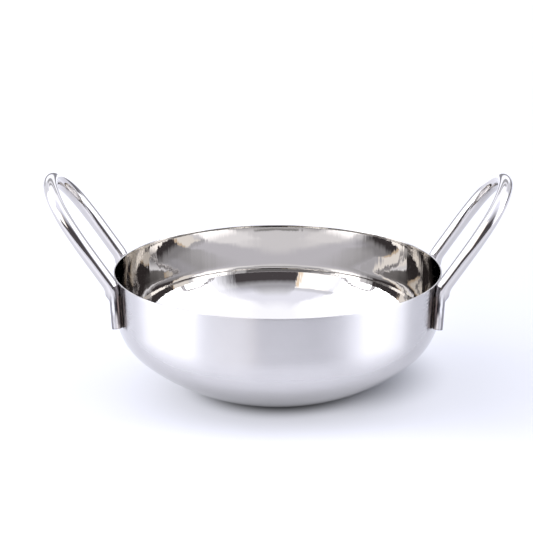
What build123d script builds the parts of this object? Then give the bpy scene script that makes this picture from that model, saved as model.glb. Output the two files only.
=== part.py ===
from build123d import *
from math import atan2, cos, degrees, hypot, radians, sin, sqrt, tan
import os

# A small kadai: a deep pressed steel bowl with a bent rod handle welded to each side.
# Millimetres and degrees. The base rests on z = 0, the bowl's axis is Z, the handles lie along X.

# Bowl
rim_diameter = 180.0
bowl_height = 68.5
sheet_thickness = 0.8
base_diameter = 60.0
base_corner_radius = 12.0
floor_radius = 107.0
knuckle_radius = 30.0
wall_depth = 23.0
wall_taper = 2.0

# Handles
rod_diameter = 8.0
leg_spacing = 60.0
rise_angle = 55.8
bend_radius = 14.0
bend_drop = 6.0
leg_length = 17.6
flank_radius = 82.0
flank_turn = 12.5

# Pressed feet of the handles, where they are welded to the wall
foot_length = 18.7
foot_lean = 3.5
foot_bite = 0.7
foot_width = 8.8
foot_taper_length = 3.2
press_depth = 2.4
press_ramp_angle = 45.0
press_ramp_length = 2.4
press_hollow_radius = 1.2
foot_end_radius = 0.8

# Weld metal between a foot and the wall
weld_thickness = 0.25
weld_flash = 0.45
weld_end_gap = 0.8

# How far a cutting shape runs past what it cuts
overrun = 20.0

rim_radius = rim_diameter / 2
base_radius = base_diameter / 2
rod_radius = rod_diameter / 2
foot_radius = foot_width / 2
half_spacing = leg_spacing / 2


def along(angle):
    """Outward normal, as (radius, height), of a wall that climbs at this angle above the floor."""
    return sin(radians(angle)), -cos(radians(angle))


def shifted(point, direction, distance):
    """The point moved along a direction in the section plane."""
    return point[0] + direction[0] * distance, point[1] + direction[1] * distance


def section_frame():
    """Centres of the section's three arcs, the angles where they join, and the foot of the straight wall."""
    wall_angle = 90 - wall_taper
    upright = (sin(radians(wall_taper)), cos(radians(wall_taper)))
    lip_drop = sheet_thickness / 2 * (1 + sin(radians(wall_taper)))
    wall_length = (wall_depth - lip_drop) / upright[1]
    wall_foot = (rim_radius - wall_length * upright[0], bowl_height - wall_depth)
    base_centre = (base_radius, base_corner_radius)
    knuckle_centre = shifted(wall_foot, along(wall_angle), -knuckle_radius)
    # the floor arc holds both smaller arcs inside it and touches each of them
    to_base = floor_radius - base_corner_radius
    to_knuckle = floor_radius - knuckle_radius
    run = knuckle_centre[0] - base_centre[0]
    rise = knuckle_centre[1] - base_centre[1]
    span = hypot(run, rise)
    reach = (to_base**2 - to_knuckle**2 + span**2) / (2 * span)
    lift = sqrt(to_base**2 - reach**2)
    floor_centre = (
        base_centre[0] + (run * reach - rise * lift) / span,
        base_centre[1] + (rise * reach + run * lift) / span,
    )

    def angle_to(centre):
        return degrees(atan2(centre[0] - floor_centre[0], floor_centre[1] - centre[1]))

    arcs = [
        (base_centre, base_corner_radius, 0, angle_to(base_centre)),
        (floor_centre, floor_radius, angle_to(base_centre), angle_to(knuckle_centre)),
        (knuckle_centre, knuckle_radius, angle_to(knuckle_centre), wall_angle),
    ]
    return arcs, wall_foot, wall_length, upright


def section_edges(offset):
    """Edges of the bowl's section from the axis to the top of the wall, moved outwards by offset."""
    arcs, wall_foot, wall_length, upright = section_frame()
    normal = along(90 - wall_taper)
    edges = [Line((0, -offset), (base_radius, -offset))]
    for centre, radius, start, end in arcs:
        stops = [start, (start + end) / 2, end]
        edges.append(ThreePointArc(*[shifted(centre, along(a), radius + offset) for a in stops]))
    bottom = shifted(wall_foot, normal, offset)
    edges.append(Line(bottom, shifted(bottom, upright, wall_length)))
    return edges


def turned(edges):
    """The closed outline turned once round the bowl's axis."""
    return revolve(Plane.XZ * make_face(Wire(edges)), Axis.Z)


def make_bowl():
    """The pressed sheet, with its lip rounded over the full thickness."""
    outer = section_edges(0)
    inner = section_edges(-sheet_thickness)
    outer_lip = outer[-1] @ 1
    inner_lip = inner[-1] @ 1
    upright = section_frame()[3]
    middle = ((outer_lip.X + inner_lip.X) / 2, (outer_lip.Y + inner_lip.Y) / 2)
    lip = ThreePointArc(outer_lip, shifted(middle, upright, sheet_thickness / 2), inner_lip)
    axis_line = Line((0, sheet_thickness), (0, 0))
    return turned(outer + [lip] + inner + [axis_line])


def bowl_form(offset):
    """The whole space inside the bowl's outer face, moved outwards by offset."""
    edges = section_edges(offset)
    top = edges[-1] @ 1
    ceiling = (0, top.Y)
    return turned(edges + [Line(top, ceiling), Line(ceiling, (0, -offset))])


def wall_radius(height):
    """Outer radius of the straight wall at a height."""
    return rim_radius - (bowl_height - height) * tan(radians(wall_taper))


# The foot's axis leans with the wall and ends at the bend, which starts a little below the rim
bend_height = bowl_height - bend_drop
foot_top_radius = wall_radius(bend_height) + rod_radius - foot_bite
foot_top = Vector(sqrt(foot_top_radius**2 - half_spacing**2), half_spacing, bend_height)
foot_direction = Vector(sin(radians(foot_lean)), 0, cos(radians(foot_lean)))
foot_plane = Plane(
    origin=foot_top - foot_direction * foot_length,
    x_dir=(cos(radians(foot_lean)), 0, -sin(radians(foot_lean))),
    z_dir=foot_direction,
)


def loop_edges():
    """Centre line of a handle, from the bend on the rear leg, round the loop, to the bend on the front leg."""
    start_angle = 90 - foot_lean
    centre = foot_top + Vector(foot_direction.Z, 0, -foot_direction.X) * bend_radius

    def on_bend(angle):
        turn = Vector(-sin(radians(angle)), 0, cos(radians(angle)))
        return centre + turn * bend_radius

    rise = Vector(cos(radians(rise_angle)), 0, sin(radians(rise_angle)))
    bend_end = on_bend(rise_angle)

    def on_loop(reach, half_width):
        """The point this far along the loop's plane from the bend, and this far from its middle."""
        return bend_end + rise * reach + Vector(0, half_width - half_spacing, 0)

    def on_flank(turn):
        inward = flank_radius * (1 - cos(radians(turn)))
        return on_loop(leg_length + flank_radius * sin(radians(turn)), half_spacing - inward)

    crown_half = half_spacing - flank_radius * (1 - cos(radians(flank_turn)))
    crown_radius = crown_half / cos(radians(flank_turn))
    crown_centre = leg_length + (flank_radius - crown_radius) * sin(radians(flank_turn))
    tip = on_loop(crown_centre + crown_radius, 0)
    leg_end = on_loop(leg_length, half_spacing)
    rear = [
        ThreePointArc(foot_top, on_bend((start_angle + rise_angle) / 2), bend_end),
        Line(bend_end, leg_end),
        ThreePointArc(leg_end, on_flank(flank_turn / 2), on_flank(flank_turn)),
    ]

    def across(point):
        return Vector(point.X, -point.Y, point.Z)

    front = []
    for edge in reversed(rear):
        ends = [across(edge @ share) for share in (1, 0.5, 0)]
        if edge.geom_type == GeomType.LINE:
            front.append(Line(ends[0], ends[2]))
        else:
            front.append(ThreePointArc(*ends))
    crown = ThreePointArc(on_flank(flank_turn), tip, across(on_flank(flank_turn)))
    return rear + [crown] + front


def foot_blank():
    """A rear foot before it is trimmed to the wall: squeezed wider, and pressed flat on its outer side."""
    body = revolve(
        Plane.XZ
        * make_face(
            Polyline(
                (0, 0),
                (foot_radius, 0),
                (foot_radius, foot_length - foot_taper_length),
                (rod_radius, foot_length),
                (0, foot_length),
                close=True,
            )
        ),
        Axis.Z,
    )
    flat = rod_radius - press_depth
    ramp_start = foot_length - press_ramp_length
    ramp_rise = overrun * tan(radians(press_ramp_angle))
    press = extrude(
        Plane.XZ
        * make_face(
            Polyline(
                (flat, -overrun),
                (flat, ramp_start),
                (flat + overrun, ramp_start + ramp_rise),
                (flat + overrun, -overrun),
                close=True,
            )
        ),
        foot_radius + overrun,
        both=True,
    )
    hollow = press.edges().filter_by(Axis.Y).sort_by_distance((flat, 0, ramp_start))[0]
    foot = body - fillet(hollow, press_hollow_radius)
    foot = fillet(foot.faces().sort_by(Axis.Z)[0].edges(), foot_end_radius)
    return foot_plane * foot


def make_handle():
    """The right-hand handle: one bent rod, trimmed where its feet lie on the weld."""
    loop = sweep(Plane(origin=foot_top, z_dir=foot_direction) * Circle(rod_radius), path=Wire(loop_edges()))
    foot = foot_blank()
    rod = loop + foot + mirror(foot, about=Plane.XZ)
    return rod - bowl_form(weld_thickness)


def make_weld():
    """Weld metal under the rear foot of the right-hand handle, a little wider than the foot's contact."""
    length = foot_length - 2 * weld_end_gap
    column = extrude(Circle(foot_radius + weld_flash), length)
    column = foot_plane.offset(weld_end_gap) * column
    return column & (bowl_form(weld_thickness) - bowl_form(0))


def save(shape, name):
    export_step(shape, os.path.join("parts", name + ".step"))


os.makedirs("parts", exist_ok=True)
save(make_bowl(), "bowl")

right_handle = make_handle()
rear_weld = make_weld()
for side, flip_side in (("right", False), ("left", True)):
    handle = mirror(right_handle, about=Plane.YZ) if flip_side else right_handle
    save(handle, "handle_" + side)
    for end, flip_end in (("rear", False), ("front", True)):
        weld = mirror(rear_weld, about=Plane.XZ) if flip_end else rear_weld
        weld = mirror(weld, about=Plane.YZ) if flip_side else weld
        save(weld, "weld_" + side + "_" + end)
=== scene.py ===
# %% [markdown]
# # A small steel kadai, dressed for the camera
# The bowl is one pressed and spun sheet of stainless steel: satin outside, mirror bright inside. A bent
# rod handle is welded to each side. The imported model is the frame: it holds the real sizes and places,
# and everything made here is laid over it, in metres, in the same frame.

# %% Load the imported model
from math import atan, atan2, cos, degrees, pi, radians, sin, sqrt, tan

import bpy
from mathutils import Matrix, Vector


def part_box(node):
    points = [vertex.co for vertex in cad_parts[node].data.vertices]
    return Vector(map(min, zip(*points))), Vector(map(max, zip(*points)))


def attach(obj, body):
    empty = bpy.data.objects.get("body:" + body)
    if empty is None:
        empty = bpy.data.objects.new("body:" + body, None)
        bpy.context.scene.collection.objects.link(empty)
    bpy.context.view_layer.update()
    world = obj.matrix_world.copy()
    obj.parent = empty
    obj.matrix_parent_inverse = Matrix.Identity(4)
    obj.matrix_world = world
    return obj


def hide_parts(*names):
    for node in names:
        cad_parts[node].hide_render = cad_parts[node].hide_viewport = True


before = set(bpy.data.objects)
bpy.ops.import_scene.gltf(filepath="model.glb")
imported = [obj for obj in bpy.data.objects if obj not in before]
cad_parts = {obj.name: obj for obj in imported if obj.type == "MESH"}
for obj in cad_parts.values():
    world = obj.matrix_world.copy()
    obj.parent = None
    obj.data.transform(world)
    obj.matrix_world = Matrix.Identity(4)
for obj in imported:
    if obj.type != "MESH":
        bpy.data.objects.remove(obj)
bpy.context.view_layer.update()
MM = 0.001

# %% [markdown]
# ## The camera
# A photograph fixes its camera once a few sizes in it are known. The rim is a circle of known width, so
# the shape of its ellipse gives the height of the camera, and the ratio between the near and the far leg
# of a handle gives its distance. It could be aimed with a lens shift; turning the camera a little
# instead keeps the shift at nought, so that it still works when somebody looks from another side.

# %% Where the camera stands
camera_distance = 1.040
camera_elevation = radians(16.62)
camera_azimuth = radians(0.48)

bowl_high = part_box("bowl")[1]
rim_height = bowl_high.z
rim_centre = Vector((0, 0, rim_height))
towards_camera = Vector((
    sin(camera_azimuth) * cos(camera_elevation),
    -cos(camera_azimuth) * cos(camera_elevation),
    sin(camera_elevation),
))
print("rim height", round(rim_height / MM, 2), "mm")

# %% Camera
FRAME_PIXELS = 533
focal_pixels = 1892
rim_centre_x_pixel = 277.6
rim_centre_y_pixel = 267.9
sensor_width = 36

camera_data = bpy.data.cameras.new("camera")
camera_data.sensor_width = sensor_width
camera_data.lens = sensor_width * focal_pixels / FRAME_PIXELS
camera_data.dof.use_dof = False
camera = bpy.data.objects.new("camera", camera_data)
bpy.context.scene.collection.objects.link(camera)
bpy.context.scene.camera = camera

middle = FRAME_PIXELS / 2
turn_left = atan((rim_centre_x_pixel - middle) / focal_pixels)
turn_up = atan((rim_centre_y_pixel - middle) / focal_pixels)
aim = (-towards_camera).to_track_quat("-Z", "Y").to_matrix().to_4x4()
aim = aim @ Matrix.Rotation(turn_left, 4, "Y") @ Matrix.Rotation(turn_up, 4, "X")
camera.matrix_world = Matrix.Translation(rim_centre + towards_camera * camera_distance) @ aim
print("camera at", [round(c, 3) for c in camera.location], "lens", round(camera_data.lens, 1))

# %% [markdown]
# ## Tones
# A product photograph keeps its whites white. Blender's usual view softens bright light towards grey,
# which suits a landscape. The plain Standard view leaves every tone as the light makes it, so it is used
# here.

# %% Tone curve
scene = bpy.context.scene
scene.view_settings.view_transform = "Standard"
scene.view_settings.look = "None"
scene.view_settings.exposure = 0
scene.view_settings.gamma = 1
print("view", scene.view_settings.view_transform)

# %% [markdown]
# ## Small helpers for nodes
# Light and finishes are both made of nodes. They could be placed by hand in the shader editor. In a
# script a few short functions do the same: each adds one node, sets it, links it and gives back its
# output, so that a line of the script reads like a sum.

# %% Helpers for node trees
def add_node(tree, kind, inputs=(), **settings):
    """A node with its settings, and its inputs given as numbers or as sockets to link."""
    node = tree.nodes.new(kind)
    for key, value in settings.items():
        setattr(node, key, value)
    for key, value in dict(inputs).items():
        if isinstance(value, bpy.types.NodeSocket):
            tree.links.new(value, node.inputs[key])
        else:
            node.inputs[key].default_value = value
    return node


def between_values(tree, value, low, high, from_low=0.0, from_high=1.0, kind="LINEAR"):
    """Low where the value is from_low, high where it is from_high, and a straight or eased way between."""
    values = {"Value": value, "From Min": from_low, "From Max": from_high, "To Min": low, "To Max": high}
    return add_node(tree, "ShaderNodeMapRange", values, interpolation_type=kind).outputs["Result"]


def calculate(tree, operation, first, second=0.0):
    """The result of a sum on one or two values."""
    return add_node(tree, "ShaderNodeMath", {0: first, 1: second}, operation=operation).outputs["Value"]


def split(tree, vector):
    """The X, Y and Z of a vector."""
    return add_node(tree, "ShaderNodeSeparateXYZ", {"Vector": vector}).outputs


def mix_colours(tree, share, first, second):
    """The first colour, with this share of the second in its place."""
    return add_node(tree, "ShaderNodeMix", {0: share, 6: first, 7: second}, data_type="RGBA").outputs[2]


# %% [markdown]
# ## The studio
# Polished steel has almost no colour of its own: what it shows is the room. So the room comes first.
# Small shiny goods are photographed in a white light tent: cloth all round and above, a lamp behind each
# side wall, a dark slit at the front for the lens, and a white card beside the lens. The slit draws the
# black shapes in the polish, the side walls draw the white ones, and the shaded foot of the cloth draws
# the grey edges of the rods. The tent could be built from lamps and planes; here it is painted on the
# sky by direction, which is free of noise and as easy to change as a list.

# %% Directions in the tent
world = bpy.data.worlds.new("light_tent")
world.use_nodes = True
scene.world = world
tent = world.node_tree
tent.nodes.clear()
looking = add_node(tent, "ShaderNodeTexCoord").outputs["Generated"]
parts = split(tent, looking)
to_lens = calculate(tent, "MULTIPLY", parts["Y"], -1.0)
azimuth = calculate(tent, "DEGREES", calculate(tent, "ARCTAN2", parts["X"], to_lens))
elevation = calculate(tent, "DEGREES", calculate(tent, "ARCSINE", parts["Z"]))
from_back = calculate(tent, "SUBTRACT", 180.0, calculate(tent, "ABSOLUTE", azimuth))
BACK = "back"
NO_END = -999


def panel(light, name, around, heights, colour, edges, fade="SMOOTHSTEP"):
    """Lays a panel over the light so far. Around is its left and right end and heights its lower and upper
    elevation, all in degrees, and edges is how softly it ends at the left, right, bottom and top. With BACK
    as its left end it lies across the back, and reaches that many degrees to either side."""
    left, right = around
    low, high = heights
    across = azimuth
    if left == BACK:
        across = from_back
        left = NO_END
    ends = ((across, left, 0, 1), (across, right, 1, 0), (elevation, low, 0, 1), (elevation, high, 1, 0))
    cover = 1.0
    for (value, end, before, after), soft in zip(ends, edges):
        side = between_values(tent, value, before, after, end - soft / 2, end + soft / 2, fade)
        cover = calculate(tent, "MULTIPLY", side, cover)
    print("panel", name)
    return mix_colours(tent, cover, light, (*colour, 1))


# %% Panels of the tent
CLOTH = (1.62, 1.66, 1.84)
LAMP = (3.0, 3.05, 3.3)
LOW_LAMP = (4.6, 4.7, 5.0)
PANELS = (
    ("front_cloth", (-55, 50), (40, 82), (1.32, 1.35, 1.56), (30, 30, 8, 10)),
    ("left_wall_high", (-125, -52), (48, 78), (2.0, 2.05, 2.25), (20, 20, 8, 14)),
    ("right_wall_high", (56, 118), (48, 76), (1.84, 1.88, 2.06), (20, 20, 8, 14)),
    ("left_wall", (-106, -52.5), (-20, 52), LAMP, (12, 8, 8, 16)),
    ("right_wall", (57, 101), (-20, 48), LAMP, (8, 14, 8, 16)),
    ("left_wall_low", (-104, -57), (3, 26), LOW_LAMP, (14, 10, 8, 20)),
    ("right_wall_low", (60, 99), (4, 22), LOW_LAMP, (10, 14, 8, 18)),
    ("left_wall_rear", (-142, -111), (-20, 50), (1.1, 1.13, 1.25), (12, 8, 8, 14)),
    ("right_wall_rear", (112, 142), (-20, 50), (0.95, 0.97, 1.08), (8, 12, 8, 14)),
    ("right_rear_foot", (96, 155), (-40, 9), (0.22, 0.22, 0.25), (12, 16, 8, 8)),
    ("back_seams", (BACK, 38), (34, 57), (0.55, 0.56, 0.6), (8, 8, 3, 3)),
    ("back_between_seams", (BACK, 60), (45, 51), (1.3, 1.32, 1.45), (8, 8, 2, 3)),
    ("back_foot", (BACK, 46), (5, 17), (0.36, 0.36, 0.4), (8, 8, 4, 6)),
    ("above_the_card", (-54, -13), (44, 52), (1.02, 1.04, 1.18), (8, 8, 2, 6)),
    ("above_the_slit", (-13, 22), (40, 62), (1.0, 1.02, 1.14), (8, 14, 10, 16)),
    ("slit", (-15, 41), (-20, 42), (0.1, 0.09, 0.1), (1, 16, 8, 30), "LINEAR"),
    ("card", (-45, -15), (-20, 45), (1.96, 1.93, 1.95), (6, 1, 8, 2)),
    ("card_edge", (-18.5, -15), (-20, 43), (1.35, 1.1, 0.86), (3, 1, 8, 4)),
    ("below_the_card", (-58, 48), (-40, 8), (0.12, 0.11, 0.12), (12, 4, 8, 3)),
)
cloth = add_node(tent, "ShaderNodeRGB")
cloth.outputs[0].default_value = (*CLOTH, 1)
light = cloth.outputs[0]
for name, *laid in PANELS:
    light = panel(light, name, *laid)

# %% [markdown]
# ## The backdrop
# Behind the kadai the photograph is plain white. A white sheet behind the object would give that too,
# but the steel would mirror it. So the sky answers two questions: a ray straight from the camera sees
# plain white, and every other ray sees the tent.

# %% White for the camera, the tent for the steel
PALE = (1, 1, 1, 1)
path = add_node(tent, "ShaderNodeLightPath").outputs["Is Camera Ray"]
lit = add_node(tent, "ShaderNodeBackground", {"Color": light}).outputs["Background"]
sweep = add_node(tent, "ShaderNodeBackground", {"Color": PALE}).outputs["Background"]
seen = add_node(tent, "ShaderNodeMixShader", {0: path, 1: lit, 2: sweep}).outputs["Shader"]
add_node(tent, "ShaderNodeOutputWorld", {"Surface": seen})
print(world.name, len(tent.nodes), "nodes")

# %% [markdown]
# ## The bowl's section
# A pressed bowl is a flat base, a tight corner, a long shallow arc, a tighter knuckle and a straight
# wall that leans out a little. Its outline could be drawn by eye as a smooth curve, but a mirror shows
# every wave of such a curve. Here each arc touches the next, so the reflections run on without a kink.
# The section is worked out from those sizes, for the outside and for the inside, one sheet apart.

# %% Sizes of the bowl
rim_radius = bowl_high.x
sheet = 0.8 * MM
base_radius = 30 * MM
corner_radius = 12 * MM
floor_arc_radius = 107 * MM
knuckle_radius = 30 * MM
wall_depth = 23 * MM
wall_taper = radians(2)
print("rim radius", round(rim_radius / MM, 2), "mm")


# %% Where the arcs touch
def tilt(angle):
    """Outward direction in the section, as (radius, height), of a wall that climbs at this angle."""
    return Vector((sin(angle), -cos(angle)))


wall_angle = pi / 2 - wall_taper
wall_up = Vector((sin(wall_taper), cos(wall_taper)))
lip_drop = sheet / 2 * (1 + sin(wall_taper))
wall_length = (wall_depth - lip_drop) / wall_up.y
wall_foot = Vector((rim_radius - wall_length * wall_up.x, rim_height - wall_depth))
corner_centre = Vector((base_radius, corner_radius))
knuckle_centre = wall_foot - tilt(wall_angle) * knuckle_radius
between = knuckle_centre - corner_centre
to_corner = floor_arc_radius - corner_radius
to_knuckle = floor_arc_radius - knuckle_radius
reach = (to_corner**2 - to_knuckle**2 + between.length**2) / (2 * between.length)
lift = sqrt(to_corner**2 - reach**2)
along = between.normalized()
floor_arc_centre = corner_centre + along * reach + Vector((-along.y, along.x)) * lift
along_corner = corner_centre - floor_arc_centre
along_knuckle = knuckle_centre - floor_arc_centre
floor_arc_starts = atan2(along_corner.x, -along_corner.y)
floor_arc_ends = atan2(along_knuckle.x, -along_knuckle.y)
for end in (floor_arc_starts, floor_arc_ends):
    print("the floor's arc ends at", round(degrees(end), 1), "degrees")

# %% Points of the section
CORNER_STEPS = 6
FLOOR_STEPS = 30
KNUCKLE_STEPS = 32
WALL_STEPS = 14
LIP_STEPS = 12
ARCS = (
    (corner_centre, corner_radius, 0, floor_arc_starts, CORNER_STEPS),
    (floor_arc_centre, floor_arc_radius, floor_arc_starts, floor_arc_ends, FLOOR_STEPS),
    (knuckle_centre, knuckle_radius, floor_arc_ends, wall_angle, KNUCKLE_STEPS),
)


def section(offset):
    """Points of the section from the axis to the top of the straight wall, moved outwards by offset."""
    points = [Vector((0, -offset)), Vector((base_radius / 2, -offset)), Vector((base_radius, -offset))]
    for centre, radius, start, end, steps in ARCS:
        for step in range(1, steps + 1):
            angle = start + (end - start) * step / steps
            points.append(centre + tilt(angle) * (radius + offset))
    wall_start = points[-1]
    points += [wall_start + wall_up * wall_length * step / WALL_STEPS for step in range(1, WALL_STEPS + 1)]
    return points


inside = section(-sheet)
outside = section(0)
lip_centre = (inside[-1] + outside[-1]) / 2
across_sheet = (inside[-1] - outside[-1]) / 2
lip = []
for step in range(1, LIP_STEPS):
    angle = pi * step / LIP_STEPS
    lip.append(lip_centre + across_sheet * cos(angle) + wall_up * (sheet / 2) * sin(angle))
profile = inside + lip + outside[::-1]
print("section points", len(profile))

# %% [markdown]
# ## Spinning the bowl
# The real bowl is turned on a lathe, and Spin does the same with a line of points. One point is pulled
# along the section, step by step, and the line is then spun once round the upright axis. A subdivided
# sphere could be bent to this shape, but its poles and edges would show in the mirror finish.

# %% Helpers for meshes
def deselect_all():
    """Goes back to object mode, with nothing selected."""
    if bpy.context.object and bpy.context.object.mode != "OBJECT":
        bpy.ops.object.mode_set(mode="OBJECT")
    bpy.ops.object.select_all(action="DESELECT")


def counts(piece):
    """A piece's name, and how much mesh it has."""
    return f"{piece.name}: {len(piece.data.vertices)} vertices, {len(piece.data.polygons)} faces"


# %% Bowl mesh
SPIN_STEPS = 288
MERGE_DISTANCE = 0.002 * MM

deselect_all()
bpy.ops.mesh.primitive_plane_add(size=sheet, location=(profile[0].x, 0, profile[0].y))
bowl = bpy.context.object
bowl.name = "bowl_body"
bpy.ops.object.transform_apply(location=True, rotation=True, scale=True)
bpy.ops.object.mode_set(mode="EDIT")
bpy.ops.mesh.select_all(action="SELECT")
bpy.ops.mesh.merge(type="CENTER")
for start, end in zip(profile, profile[1:]):
    step = end - start
    bpy.ops.mesh.extrude_region_move(TRANSFORM_OT_translate={"value": (step.x, 0, step.y)})
bpy.ops.mesh.select_all(action="SELECT")
bpy.ops.mesh.spin(steps=SPIN_STEPS, angle=2 * pi, center=(0, 0, 0), axis=(0, 0, 1))
bpy.ops.mesh.select_all(action="SELECT")
bpy.ops.mesh.remove_doubles(threshold=MERGE_DISTANCE)
bpy.ops.mesh.normals_make_consistent(inside=False)
bpy.ops.object.mode_set(mode="OBJECT")
bpy.ops.object.shade_smooth()
print(counts(bowl))

# %% [markdown]
# ## The handles
# Each handle is one length of round rod. On the bench it is bent cold round formers, one arc at a time,
# and then its two ends are pressed flat on the outside and welded to the wall. The mesh is made the same
# way: a ring of points is drawn straight up the foot, spun round each bend, and drawn on again. A curve
# with a round bevel would be quicker, but it leaves no rings to press the foot with.

# %% Sizes of a handle
rod_radius = 4 * MM
half_spacing = 30 * MM
rise_angle = radians(55.8)
bend_radius = 14 * MM
bend_drop = 6 * MM
leg_length = 17.6 * MM
flank_radius = 82 * MM
flank_turn = radians(12.5)
foot_length = 18.7 * MM
foot_lean = radians(3.5)
foot_bite = 0.7 * MM

bend_height = rim_height - bend_drop
wall_at_bend = rim_radius - bend_drop * tan(wall_taper)
rod_at_bend = wall_at_bend + rod_radius - foot_bite
foot_top = Vector((sqrt(rod_at_bend**2 - half_spacing**2), half_spacing, bend_height))
foot_up = Vector((sin(foot_lean), 0, cos(foot_lean)))
foot_out = Vector((cos(foot_lean), 0, -sin(foot_lean)))
foot_end = foot_top - foot_up * foot_length
loop_up = Vector((cos(rise_angle), 0, sin(rise_angle)))
loop_normal = Vector((-sin(rise_angle), 0, cos(rise_angle)))
crown_half = half_spacing - flank_radius * (1 - cos(flank_turn))
crown_radius = crown_half / cos(flank_turn)
print("crown radius", round(crown_radius / MM, 2), "mm")

# %% How the rod is drawn and bent
RING_POINTS = 96
DEGREES_A_STEP = 2.5
LEG_STEPS = 8
TIP_STEPS = [0.08 * MM] * 4 + [0.16 * MM] * 3
PRESSED_STEPS = [0.6 * MM] * 25
SHOULDER_STEPS = [0.22 * MM] * 13
FOOT_STEPS = TIP_STEPS + PRESSED_STEPS + SHOULDER_STEPS
Y_AXIS = Vector((0, 1, 0))
OTHER_LEG = Vector((1, -1, 1))


def draw_rod(direction, lengths):
    """Draws the selected ring on in a straight line, by each of these lengths."""
    for length in lengths:
        bpy.ops.mesh.extrude_region_move(TRANSFORM_OT_translate={"value": direction * length})


def bend_rod(centre, axis, angle):
    """Spins the selected ring round a former with this centre and axis. Spin itself counts clockwise."""
    steps = max(2, round(abs(degrees(angle)) / DEGREES_A_STEP))
    bpy.ops.mesh.spin(steps=steps, angle=-angle, center=centre, axis=axis)


foot_steps = [step * foot_length / sum(FOOT_STEPS) for step in FOOT_STEPS]
leg_steps = [leg_length / LEG_STEPS] * LEG_STEPS
bend_turn = pi / 2 - foot_lean - rise_angle
bend_end = foot_top + foot_out * bend_radius + loop_normal * bend_radius
flank_centre = bend_end + loop_up * leg_length - Y_AXIS * flank_radius
to_crown = Y_AXIS * cos(flank_turn) + loop_up * sin(flank_turn)
crown_centre = flank_centre + to_crown * (flank_radius - crown_radius)
print("bend of", round(degrees(bend_turn), 1), "degrees above each foot")

# %% Drawing and bending the rod
deselect_all()
bpy.ops.mesh.primitive_circle_add(vertices=RING_POINTS, radius=rod_radius, fill_type="NGON")
handle = bpy.context.object
handle.name = "handle_right_rod"
handle.matrix_world = Matrix.Translation(foot_end) @ foot_up.to_track_quat("Z", "Y").to_matrix().to_4x4()
bpy.ops.object.transform_apply(location=True, rotation=True, scale=True)
bpy.ops.object.mode_set(mode="EDIT")
bpy.ops.mesh.select_all(action="SELECT")
draw_rod(foot_up, foot_steps)
bend_rod(foot_top + foot_out * bend_radius, Y_AXIS, bend_turn)
draw_rod(loop_up, leg_steps)
bend_rod(flank_centre, loop_normal, -flank_turn)
bend_rod(crown_centre, loop_normal, 2 * flank_turn - pi)
bend_rod(flank_centre * OTHER_LEG, loop_normal, -flank_turn)
draw_rod(-loop_up, leg_steps)
bend_rod((bend_end - loop_normal * bend_radius) * OTHER_LEG, Y_AXIS, -bend_turn)
draw_rod(-foot_up, foot_steps[::-1])
bpy.ops.mesh.select_all(action="SELECT")
bpy.ops.mesh.remove_doubles(threshold=MERGE_DISTANCE)
bpy.ops.mesh.normals_make_consistent(inside=False)
bpy.ops.object.mode_set(mode="OBJECT")
print(counts(handle))

# %% [markdown]
# ## Pressing the feet
# A press die flattens the outer side of each end and spreads the rod there, more and more towards the
# tip, with a sloping shoulder where the die stops. The inner side is squeezed against the wall by the
# welding. Scaling rings by hand would leave the wall side wrong, and a Boolean would leave a hard edge
# that reflects badly. So each point of a foot is moved the way the metal goes: it stops at the die, or
# at the wall, with the corner between them eased.

# %% Sizes of the press
foot_radius = 4.4 * MM
foot_taper_length = 15 * MM
press_flat = rod_radius - 2.4 * MM
press_ramp_length = 2.4 * MM
end_radius = 0.8 * MM
weld_thickness = 0.25 * MM
corner_ease = 0.30 * MM
shoulder_ease = 0.8 * MM
TOLERANCE = 0.001 * MM
print("flat", round(press_flat / MM, 2), "mm out from the rod's axis")


# %% Easing one surface into another
def soft_min(a, b, ease):
    """The smaller of two lengths, rounded where they are nearly the same."""
    h = max(ease - abs(a - b), 0) / ease
    return min(a, b) - h * h * ease / 4


def soft_max(a, b, ease):
    """The larger of two lengths, rounded where they are nearly the same."""
    return -soft_min(-a, -b, ease)


def end_rounding(climb):
    """How far the rounded end of the rod draws in at this distance from its tip."""
    left = min(max(end_radius - climb, 0), end_radius)
    return end_radius - sqrt(end_radius**2 - left**2)


# %% What the foot is pressed against
def wall_outside(height):
    """Radius of the bowl's outer face at a height on the wall or the knuckle."""
    if height >= wall_foot.y:
        return rim_radius - (rim_height - height) * tan(wall_taper)
    drop = min((knuckle_centre.y - height) / knuckle_radius, 1)
    return knuckle_centre.x + knuckle_radius * sqrt(1 - drop * drop)


def pressed(point):
    """Where the press and the wall leave a point of the round rod. Only points below the bend move."""
    side = 1 if point.y > 0 else -1
    from_end = Vector((point.x - foot_end.x, 0, point.z - foot_end.z))
    climb = from_end.dot(foot_up)
    if climb > foot_length - TOLERANCE:
        return point
    spread = min(1, (foot_length - climb) / foot_taper_length)
    rounding = end_rounding(climb)
    scale = (rod_radius + (foot_radius - rod_radius) * spread - rounding) / rod_radius
    sideways = half_spacing + scale * (side * point.y - half_spacing)
    ramp = climb - (foot_length - press_ramp_length)
    die = press_flat + soft_max(ramp, 0, shoulder_ease) - rounding
    out = soft_min(scale * from_end.dot(foot_out), die, corner_ease)
    axis = foot_end + foot_up * climb
    reach = wall_outside(axis.z - out * sin(foot_lean)) + weld_thickness
    at_wall = (sqrt(reach**2 - sideways**2) - axis.x) / cos(foot_lean)
    moved = axis + foot_out * max(out, at_wall)
    return Vector((moved.x, side * sideways, moved.z))


# %% Pressing both feet
for vertex in handle.data.vertices:
    vertex.co = pressed(vertex.co)
handle.data.update()
deselect_all()
handle.select_set(True)
bpy.context.view_layer.objects.active = handle
bpy.ops.object.shade_smooth()
for corner in (handle.bound_box[0], handle.bound_box[6]):
    print("handle reaches", [round(c, 4) for c in corner])

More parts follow.
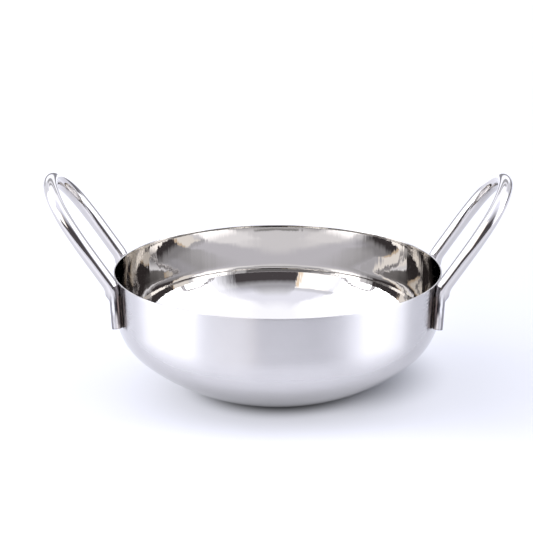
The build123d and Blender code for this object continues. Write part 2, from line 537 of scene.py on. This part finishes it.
# %% [markdown]
# ## The other handle
# Both handles are bent on the same former, so they are alike. The second could be bent again from the
# start. It is quicker to copy the first with its own mesh and mirror it, which turns its faces inside
# out, so they are made to point outwards again.

# %% The other handle
bpy.ops.object.duplicate(linked=False)
other_handle = bpy.context.object
other_handle.name = "handle_left_rod"
bpy.ops.object.mode_set(mode="EDIT")
bpy.ops.mesh.select_all(action="SELECT")
bpy.ops.transform.mirror(constraint_axis=(True, False, False), center_override=(0, 0, 0))
bpy.ops.mesh.normals_make_consistent(inside=False)
bpy.ops.object.mode_set(mode="OBJECT")
print(counts(other_handle))

# %% [markdown]
# ## Finishes
# One steel, four finishes: satin outside the bowl, mirror inside it and on its lip, a bright rod, and
# weld metal. All are the same metal shader. The difference is its roughness, the direction in which that
# roughness spreads, a very small bump, and colours: heat colours, and painted shade, highlights and
# reflections on the feet, beside them and at the base. Highlights on the bowl could be painted too, but
# they would stay put when it is turned, so they are left to the light.

# %% Helpers for the finishes
NOISE_LOW = 0.3
NOISE_HIGH = 0.7
FINER_SHARE = 0.6
COARSER_SHARE = 1.5


def new_material(name, steel_colour, roughness):
    """A metal material, its node tree and its shader."""
    material = bpy.data.materials.new(name)
    material.use_nodes = True
    tree = material.node_tree
    shader = tree.nodes["Principled BSDF"]
    shader.inputs["Base Color"].default_value = (*steel_colour, 1)
    shader.inputs["Metallic"].default_value = 1
    shader.inputs["Roughness"].default_value = roughness
    return material, tree, shader


def object_place(tree):
    """Object coordinates. They are the model's own, because every piece has its origin there."""
    return add_node(tree, "ShaderNodeTexCoord").outputs["Object"]


def noise(tree, vector, scale, detail=2, roughness=0.5):
    """The grey value of a noise pattern."""
    values = {"Vector": vector, "Scale": scale, "Detail": detail, "Roughness": roughness}
    return add_node(tree, "ShaderNodeTexNoise", values).outputs["Fac"]


def varied(tree, pattern, low, high):
    """A noise pattern spread from low to high. Noise itself keeps mostly to the middle of its range."""
    return between_values(tree, pattern, low, high, NOISE_LOW, NOISE_HIGH)


def worn_roughness(tree, shader, pattern, roughness):
    """Lets a pattern make the roughness a little finer or coarser from place to place."""
    rough = varied(tree, pattern, roughness * FINER_SHARE, roughness * COARSER_SHARE)
    tree.links.new(rough, shader.inputs["Roughness"])


def scaled(tree, vector, factor):
    """A vector or a colour times one number."""
    values = {0: vector, "Scale": factor}
    return add_node(tree, "ShaderNodeVectorMath", values, operation="SCALE").outputs["Vector"]


def add_bump(tree, shader, pattern, strength, height):
    """Lets the light see a pattern as if it were this high."""
    values = {"Height": pattern, "Strength": strength, "Distance": height}
    bump = add_node(tree, "ShaderNodeBump", values)
    tree.links.new(bump.outputs["Normal"], shader.inputs["Normal"])


# %% Lines of a lathe
LINE_DETAIL = 3
LINE_ROUGHNESS = 0.6
CHANGES_ALONG_A_METRE = 6


def length_of(tree, vector):
    """How long a vector is."""
    return add_node(tree, "ShaderNodeVectorMath", {0: vector}, operation="LENGTH").outputs["Value"]


def turned_lines(tree, lines_a_metre):
    """Noise that changes fast across the lines of a lathe and slowly along them."""
    parts = split(tree, object_place(tree))
    flat = add_node(tree, "ShaderNodeCombineXYZ", {"X": parts["X"], "Y": parts["Y"]}).outputs["Vector"]
    on_section = {"X": length_of(tree, flat), "Y": parts["Z"]}
    section_place = add_node(tree, "ShaderNodeCombineXYZ", on_section).outputs["Vector"]
    fast = scaled(tree, section_place, lines_a_metre)
    slow = scaled(tree, flat, CHANGES_ALONG_A_METRE)
    lines = add_node(tree, "ShaderNodeVectorMath", {0: fast, 1: slow}, operation="ADD").outputs["Vector"]
    return noise(tree, lines, 1, LINE_DETAIL, LINE_ROUGHNESS)


# %% [markdown]
# ## Satin outside
# The outside has been brushed while it turned, so its lines run round the bowl and a light is drawn out up
# and down, across the lines. The lines could be modelled, but there are thousands. Anisotropic roughness
# gives what they do to light, and a faint noise along the same lines gives their unevenness. Towards the
# base the brushing fades, so the roughness changes with the height. The colour is darker there too: that
# is painted shade, standing in for the shadowed table that the base mirrors.

# %% Satin roughness
SATIN_COLOUR = (0.63, 0.618, 0.621)
SATIN_ROUGHNESS = 0.33
SATIN_ANISOTROPY = 0.98
QUARTER_TURN = 0.25
BASE_ROUGHNESS = 0.07
BRUSH_FADE = (6 * MM, 46 * MM)
GRAZING_SHARE = 0.5
GRAZING_FADE = (0.45, 0.95)
BRUSH_LINES_A_METRE = 2600
BRUSH_UNEVEN = 0.08
BRUSH_BUMP = 0.05
FINE_HEIGHT = 0.01 * MM

satin, tree, shader = new_material("satin_spun_steel", SATIN_COLOUR, SATIN_ROUGHNESS)
shader.inputs["Anisotropic"].default_value = SATIN_ANISOTROPY
shader.inputs["Anisotropic Rotation"].default_value = QUARTER_TURN
tangent = add_node(tree, "ShaderNodeTangent", direction_type="RADIAL", axis="Z")
tree.links.new(tangent.outputs["Tangent"], shader.inputs["Tangent"])
brush = turned_lines(tree, BRUSH_LINES_A_METRE)
place = object_place(tree)
parts = split(tree, place)
height = parts["Z"]
by_height = between_values(tree, height, BASE_ROUGHNESS, SATIN_ROUGHNESS, *BRUSH_FADE, "SMOOTHSTEP")
facing = add_node(tree, "ShaderNodeLayerWeight", {"Blend": 0.5}).outputs["Facing"]
along_sight = between_values(tree, facing, 1, GRAZING_SHARE, *GRAZING_FADE)
uneven = varied(tree, brush, 1 - BRUSH_UNEVEN, 1 + BRUSH_UNEVEN)
rough = calculate(tree, "MULTIPLY", calculate(tree, "MULTIPLY", by_height, along_sight), uneven)
tree.links.new(rough, shader.inputs["Roughness"])
add_bump(tree, shader, brush, BRUSH_BUMP, FINE_HEIGHT)
print(satin.name)

# %% [markdown]
# ## Heat tint and a painted reflection beside the feet
# Welding colours the steel round each foot, and the wall there also mirrors the rod, so a dark strip
# stands beside each foot. The strip is painted into the satin's colour: partly heat tint, and partly a
# painted reflection of the rod. It could be a patch of its own material, but that would need a cut in the
# mesh. A mask worked out from the place on the wall is enough: how far a point is from the middle of the
# foot, measured along the wall, and how high it is. The four feet are alike, so one sum serves for all.

# %% Where the heat tint and the painted reflection lie
foot_bearing = atan2(half_spacing, foot_top.x - foot_length / 2 * sin(foot_lean))


def beside_foot(tree, parts):
    """Distance along the wall from the middle of the nearest foot, above nought on the side away from the
    handle's other foot."""
    along_x = calculate(tree, "MULTIPLY", calculate(tree, "ABSOLUTE", parts["X"]), sin(foot_bearing))
    along_y = calculate(tree, "MULTIPLY", calculate(tree, "ABSOLUTE", parts["Y"]), cos(foot_bearing))
    return calculate(tree, "SUBTRACT", along_y, along_x)


print("feet at", round(degrees(foot_bearing), 1), "degrees from the line through both handles")

# %% Satin colour
BASE_SHADE_SHARE = 0.3
BASE_SHADE_FADE = (3 * MM, 31 * MM)
MOTTLE_SCALE = 60
MOTTLE = 0.02
HEAT_AND_REFLECTION_TINT = (0.27, 0.255, 0.265)
TINT_SCALE = 120
TINT_WANDER = 0.3 * MM
TINT_OUTER = (10.6 * MM, 12.7 * MM)
TINT_INNER = (-13 * MM, -4 * MM)
TINT_FOOT = (44 * MM, 47 * MM)

sideways = beside_foot(tree, parts)
# Painted shade: the satin's colour darkens towards the base, where the steel mirrors the shadowed table.
painted_base_shade = between_values(tree, height, BASE_SHADE_SHARE, 1, *BASE_SHADE_FADE, "SMOOTHSTEP")
mottle = varied(tree, noise(tree, place, MOTTLE_SCALE, detail=3), 1 - MOTTLE, 1 + MOTTLE)
steel = scaled(tree, SATIN_COLOUR, calculate(tree, "MULTIPLY", painted_base_shade, mottle))
wander = varied(tree, noise(tree, place, TINT_SCALE), -TINT_WANDER, TINT_WANDER)
tint_edge = calculate(tree, "ADD", sideways, wander)
tint_foot = calculate(tree, "ADD", height, wander)
outer_side = between_values(tree, tint_edge, 1, 0, *TINT_OUTER, "SMOOTHSTEP")
inner_side = between_values(tree, tint_edge, 0, 1, *TINT_INNER, "SMOOTHSTEP")
level = between_values(tree, tint_foot, 0, 1, *TINT_FOOT, "SMOOTHSTEP")
# Painted reflection: the dark strip beside each foot is partly heat tint and partly the rod mirrored in the
# wall, painted as colour.
heat_and_reflection = calculate(tree, "MULTIPLY", calculate(tree, "MULTIPLY", outer_side, inner_side), level)
tree.links.new(mix_colours(tree, heat_and_reflection, steel, (*HEAT_AND_REFLECTION_TINT, 1)), shader.inputs["Base Color"])
print("heat tint", round(TINT_OUTER[0] / MM, 1), "mm to the side of each foot's middle")

# %% [markdown]
# ## Mirror inside
# The inside and the lip are buffed to a mirror. Pressing left faint upright marks in the wall, which the
# buffing didn't quite take out, and they stretch and break the reflections there. A perfectly smooth
# mirror would be simpler and would look like glass. So a noise drawn out up and down gives the marks, on
# the wall alone, and fine lines of the buffing wheel vary the roughness.

# %% Mirror inside
MIRROR_COLOUR = (0.60, 0.58, 0.555)
MIRROR_ROUGHNESS = 0.03
BUFFING_LINES_A_METRE = 1500
DRAW_MARKS = 260
DRAW_MARK_STRETCH = (1, 1, 0.06)
DRAW_MARK_BUMP = 1
DRAW_MARK_HEIGHT = 0.06 * MM
DRAW_MARKS_FADE = (12 * MM, 40 * MM)

mirror, tree, shader = new_material("mirror_buffed_steel", MIRROR_COLOUR, MIRROR_ROUGHNESS)
place = object_place(tree)
stretch = {0: place, 1: DRAW_MARK_STRETCH}
stretched = add_node(tree, "ShaderNodeVectorMath", stretch, operation="MULTIPLY").outputs["Vector"]
marks = noise(tree, stretched, DRAW_MARKS)
height = split(tree, place)["Z"]
on_wall = between_values(tree, height, 0, 1, *DRAW_MARKS_FADE, "SMOOTHSTEP")
worn_roughness(tree, shader, turned_lines(tree, BUFFING_LINES_A_METRE), MIRROR_ROUGHNESS)
add_bump(tree, shader, calculate(tree, "MULTIPLY", marks, on_wall), DRAW_MARK_BUMP, DRAW_MARK_HEIGHT)
print(mirror.name)

# %% [markdown]
# ## Bright rod
# The rod was drawn and then tumbled bright. Its pressed feet show lengthwise stripes, dark, straw and
# nearly white: partly heat colours, and partly the room mirrored in narrow facets that the press left. The
# facets could be modelled, but they are too narrow to be measured. So a colour ramp paints all the stripes
# along the foot as colour, the mirrored ones as painted highlights and painted reflections, by the distance
# outwards from the rod's axis, with one ramp for the upper part of the foot and one for its lower part, and
# a little noise so that no stripe is quite straight.

# %% Stripes on the feet
BANDS_FROM = -4.5
BANDS_TO = 2.5
# The stripes are partly heat colours and partly painted highlights and painted reflections.
HIGH_BANDS = (
    (-3.1, (0.12, 0.11, 0.115)),
    (-2.8, (0.90, 0.74, 0.64)),
    (-2.5, (0.80, 0.66, 0.58)),
    (-2.2, (0.06, 0.055, 0.06)),
    (-0.95, (0.07, 0.065, 0.07)),
    (-0.55, (0.85, 0.84, 0.83)),
    (0.3, (0.86, 0.85, 0.84)),
    (0.6, (0.23, 0.225, 0.235)),
    (1.2, (0.25, 0.245, 0.255)),
    (1.7, (0.32, 0.31, 0.325)),
)
LOW_BANDS = (
    (-3.1, (0.10, 0.09, 0.09)),
    (-2.6, (0.55, 0.49, 0.45)),
    (-1.7, (0.62, 0.58, 0.55)),
    (-0.9, (0.44, 0.42, 0.41)),
    (-0.4, (0.46, 0.44, 0.44)),
    (0.3, (0.58, 0.57, 0.57)),
    (0.6, (0.22, 0.21, 0.22)),
    (1.7, (0.25, 0.24, 0.25)),
)


def heat_and_reflection_bands(tree, distance, bands):
    """Colours by the distance outwards from the rod's axis, which the bands give in millimetres."""
    along_ramp = between_values(tree, distance, 0, 1, BANDS_FROM * MM, BANDS_TO * MM)
    ramp = add_node(tree, "ShaderNodeValToRGB", {"Fac": along_ramp})
    stops = ramp.color_ramp.elements
    given = len(stops)
    for number, (outwards, colour) in enumerate(bands):
        stop = stops[number] if number < given else stops.new(1)
        stop.position = (outwards - BANDS_FROM) / (BANDS_TO - BANDS_FROM)
        stop.color = (*colour, 1)
    return ramp.outputs["Color"]


print(len(HIGH_BANDS), "bands high on the foot,", len(LOW_BANDS), "low on it")

# %% Bright rod
ROD_COLOUR = (0.62, 0.60, 0.59)
ROD_ROUGHNESS = 0.07
WEAR_SCALE = 700
WEAR_BUMP = 0.15
STREAK_SCALE = 450
STREAK_WANDER = 0.12 * MM
LOW_BANDS_FADE = (50 * MM, 55 * MM)
HIGH_BANDS_FADE = (58 * MM, 66 * MM)

bright_rod, tree, shader = new_material("bright_drawn_rod", ROD_COLOUR, ROD_ROUGHNESS)
place = object_place(tree)
wear = noise(tree, place, WEAR_SCALE, detail=3, roughness=0.6)
worn_roughness(tree, shader, wear, ROD_ROUGHNESS)
parts = split(tree, place)
foot_slope = tan(foot_lean)
axis = calculate(tree, "MULTIPLY_ADD", parts["Z"], foot_slope)
axis.node.inputs[2].default_value = foot_end.x - foot_end.z * foot_slope
streaks = noise(tree, place, STREAK_SCALE, detail=3, roughness=0.6)
streaks = varied(tree, streaks, -STREAK_WANDER, STREAK_WANDER)
outwards = calculate(tree, "SUBTRACT", calculate(tree, "ABSOLUTE", parts["X"]), axis)
outwards = calculate(tree, "ADD", outwards, streaks)
high = heat_and_reflection_bands(tree, outwards, HIGH_BANDS)
low = heat_and_reflection_bands(tree, outwards, LOW_BANDS)
lower = between_values(tree, parts["Z"], 1, 0, *LOW_BANDS_FADE, "SMOOTHSTEP")
bands = mix_colours(tree, lower, high, low)
pressed_part = between_values(tree, parts["Z"], 1, 0, *HIGH_BANDS_FADE, "SMOOTHSTEP")
steel = mix_colours(tree, pressed_part, (*ROD_COLOUR, 1), bands)
tree.links.new(steel, shader.inputs["Base Color"])
add_bump(tree, shader, wear, WEAR_BUMP, FINE_HEIGHT)
print(bright_rod.name)

# %% [markdown]
# ## Weld metal
# Between each foot and the wall lies a thin strip of metal that was molten: duller, browner and rippled.
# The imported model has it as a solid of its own, so it needs no new mesh, only a finish. One noise drives
# colour, roughness and ripples together, because on a real weld they come from the same flow of metal.

# %% Weld metal
WELD_COLOUR = (0.42, 0.36, 0.31)
WELD_ROUGHNESS = 0.4
WELD_SHADES = (0.6, 1.25)
WELD_ROUGHNESSES = (0.3, 0.55)
RIPPLE_SCALE = 900
RIPPLE_BUMP = 0.6
RIPPLE_HEIGHT = 0.1 * MM

weld_metal, tree, shader = new_material("weld_metal", WELD_COLOUR, WELD_ROUGHNESS)
ripple = noise(tree, object_place(tree), RIPPLE_SCALE, detail=4, roughness=0.6)
steel = scaled(tree, WELD_COLOUR, varied(tree, ripple, *WELD_SHADES))
tree.links.new(steel, shader.inputs["Base Color"])
tree.links.new(varied(tree, ripple, *WELD_ROUGHNESSES), shader.inputs["Roughness"])
add_bump(tree, shader, ripple, RIPPLE_BUMP, RIPPLE_HEIGHT)
print(weld_metal.name)

# %% [markdown]
# ## Putting the finishes on
# The bowl is one sheet with two finishes, and the buffing ends on the outer side of the lip. The faces
# could be picked by their number, but numbers change with the mesh. They are picked by the way they
# face: inwards or up for the mirror, outwards for the satin.

# %% Put the finishes on
LIP_BUFFED_TO = -0.3

bowl.data.materials.append(satin)
bowl.data.materials.append(mirror)
for face in bowl.data.polygons:
    outwards = Vector((face.center.x, face.center.y, 0)).normalized()
    faces_in = face.normal.z - face.normal.dot(outwards) > LIP_BUFFED_TO
    face.material_index = 1 if faces_in else 0
for piece in (handle, other_handle):
    piece.data.materials.append(bright_rod)
weld_nodes = [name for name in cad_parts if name.startswith("weld")]
for name in weld_nodes:
    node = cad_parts[name]
    node.data.materials.clear()
    node.data.materials.append(weld_metal)
print("mirror faces", sum(face.material_index for face in bowl.data.polygons))

# %% [markdown]
# ## The table
# The table is a sheet of milky acrylic whose material glows, as if lit from below, which is why the
# shadow under the bowl is so short. It ends in front of the bowl and the dark room begins there: that draws
# the dark line in the rods. A white plane with lamps from above would give a wider and harder shadow. The
# glow is painted light, and the bowl's shadow is painted into it: it fades where the bowl's base stands,
# darkest a little to the right of and behind the middle, and it is weaker to the right and towards the
# near edge and stronger in front. A painted contact shade also darkens the colour round the base.

# %% Table
TABLE_FRONT = 530 * MM
TABLE_BACK = 2600 * MM
TABLE_HALF = 1600 * MM

deselect_all()
bpy.ops.mesh.primitive_plane_add(size=2, location=(0, 0, 0))
floor = bpy.context.object
floor.name = "table"
bpy.ops.object.mode_set(mode="EDIT")
bpy.ops.mesh.select_all(action="SELECT")
bpy.ops.transform.resize(value=(TABLE_HALF, (TABLE_FRONT + TABLE_BACK) / 2, 1))
bpy.ops.transform.translate(value=(0, (TABLE_BACK - TABLE_FRONT) / 2, 0))
bpy.ops.object.mode_set(mode="OBJECT")
print(counts(floor), "table from", -TABLE_FRONT, "to", TABLE_BACK)

# %% Milky acrylic
ACRYLIC = (0.41, 0.415, 0.44)
ACRYLIC_ROUGHNESS = 0.6
ACRYLIC_SPECULAR = 0.2
GLOW_COLOUR = (0.96, 0.965, 1.04)
GLOW = 0.47
FRONT_GLOW = 0.32
FRONT_GLOW_FADE = (-170 * MM, -45 * MM)
NEAR_EDGE_SHARE = 0.6
NEAR_EDGE_FADE = (-270 * MM, -190 * MM)
RIGHT_SHARE = 0.7
RIGHT_FADE = (20 * MM, 130 * MM)
CLOUD_SCALE = 9
CLOUDS = 0.015
# Centre of the painted shadow in the glow, a little to the right of and behind the bowl's middle.
PAINTED_SHADOW_CENTRE = (27 * MM, 23 * MM, 0)
DARK_RADIUS = 32 * MM
LIT_RADIUS = 74 * MM
CONTACT_SHARE = 0.35
CONTACT_START = 31 * MM
CONTACT_END = 50 * MM
UNSHADED_END = CONTACT_END + 6 * MM

floor_paint, tree, shader = new_material("milky_acrylic", ACRYLIC, ACRYLIC_ROUGHNESS)
shader.inputs["Metallic"].default_value = 0
shader.inputs["Specular IOR Level"].default_value = ACRYLIC_SPECULAR
place = object_place(tree)
away = {0: place, 1: PAINTED_SHADOW_CENTRE}
from_painted_shadow = add_node(tree, "ShaderNodeVectorMath", away, operation="DISTANCE").outputs["Value"]
from_middle = length_of(tree, place)
# Painted contact shade: the table's colour darkens round the bowl's base.
painted_contact_shade = between_values(tree, from_middle, CONTACT_SHARE, 1, CONTACT_START, CONTACT_END, "SMOOTHSTEP")
parts = split(tree, place)
# The glow is painted light: its dark place round the bowl is a painted shadow, and it is weaker to the
# right and towards the near edge and stronger in front.
lit = between_values(tree, from_painted_shadow, 0, GLOW, DARK_RADIUS, LIT_RADIUS, "SMOOTHSTEP")
to_right = between_values(tree, parts["X"], 1, RIGHT_SHARE, *RIGHT_FADE, "SMOOTHSTEP")
to_front = between_values(tree, parts["Y"], FRONT_GLOW, 0, *FRONT_GLOW_FADE, "SMOOTHSTEP")
clouds = varied(tree, noise(tree, place, CLOUD_SCALE, detail=3), 1 - CLOUDS, 1 + CLOUDS)
to_edge = between_values(tree, parts["Y"], NEAR_EDGE_SHARE, 1, *NEAR_EDGE_FADE, "SMOOTHSTEP")
unshaded = between_values(tree, from_middle, 0, 1, CONTACT_START, UNSHADED_END, "SMOOTHSTEP")
glow = calculate(tree, "ADD", lit, to_front)
for share in (to_right, to_edge, calculate(tree, "MULTIPLY", clouds, unshaded)):
    glow = calculate(tree, "MULTIPLY", glow, share)
tree.links.new(glow, shader.inputs["Emission Strength"])
tree.links.new(scaled(tree, ACRYLIC, painted_contact_shade), shader.inputs["Base Color"])
shader.inputs["Emission Color"].default_value = (*GLOW_COLOUR, 1)
floor.data.materials.append(floor_paint)
print(floor_paint.name, "glows", GLOW, "away from the bowl")

# %% [markdown]
# ## Handing the pieces over
# Each piece rides on the part's one rigid body, and the imported solid it is laid over is hidden. The welds
# are the imported model's own solids with a finish on them.

# %% Ride, and hide the imported solids
for piece, node, slot in (
    (bowl, "bowl", "bowl_steel"),
    (handle, "handle_right", "handle_rod"),
    (other_handle, "handle_left", "handle_rod"),
):
    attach(piece, "root")
    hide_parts(node)
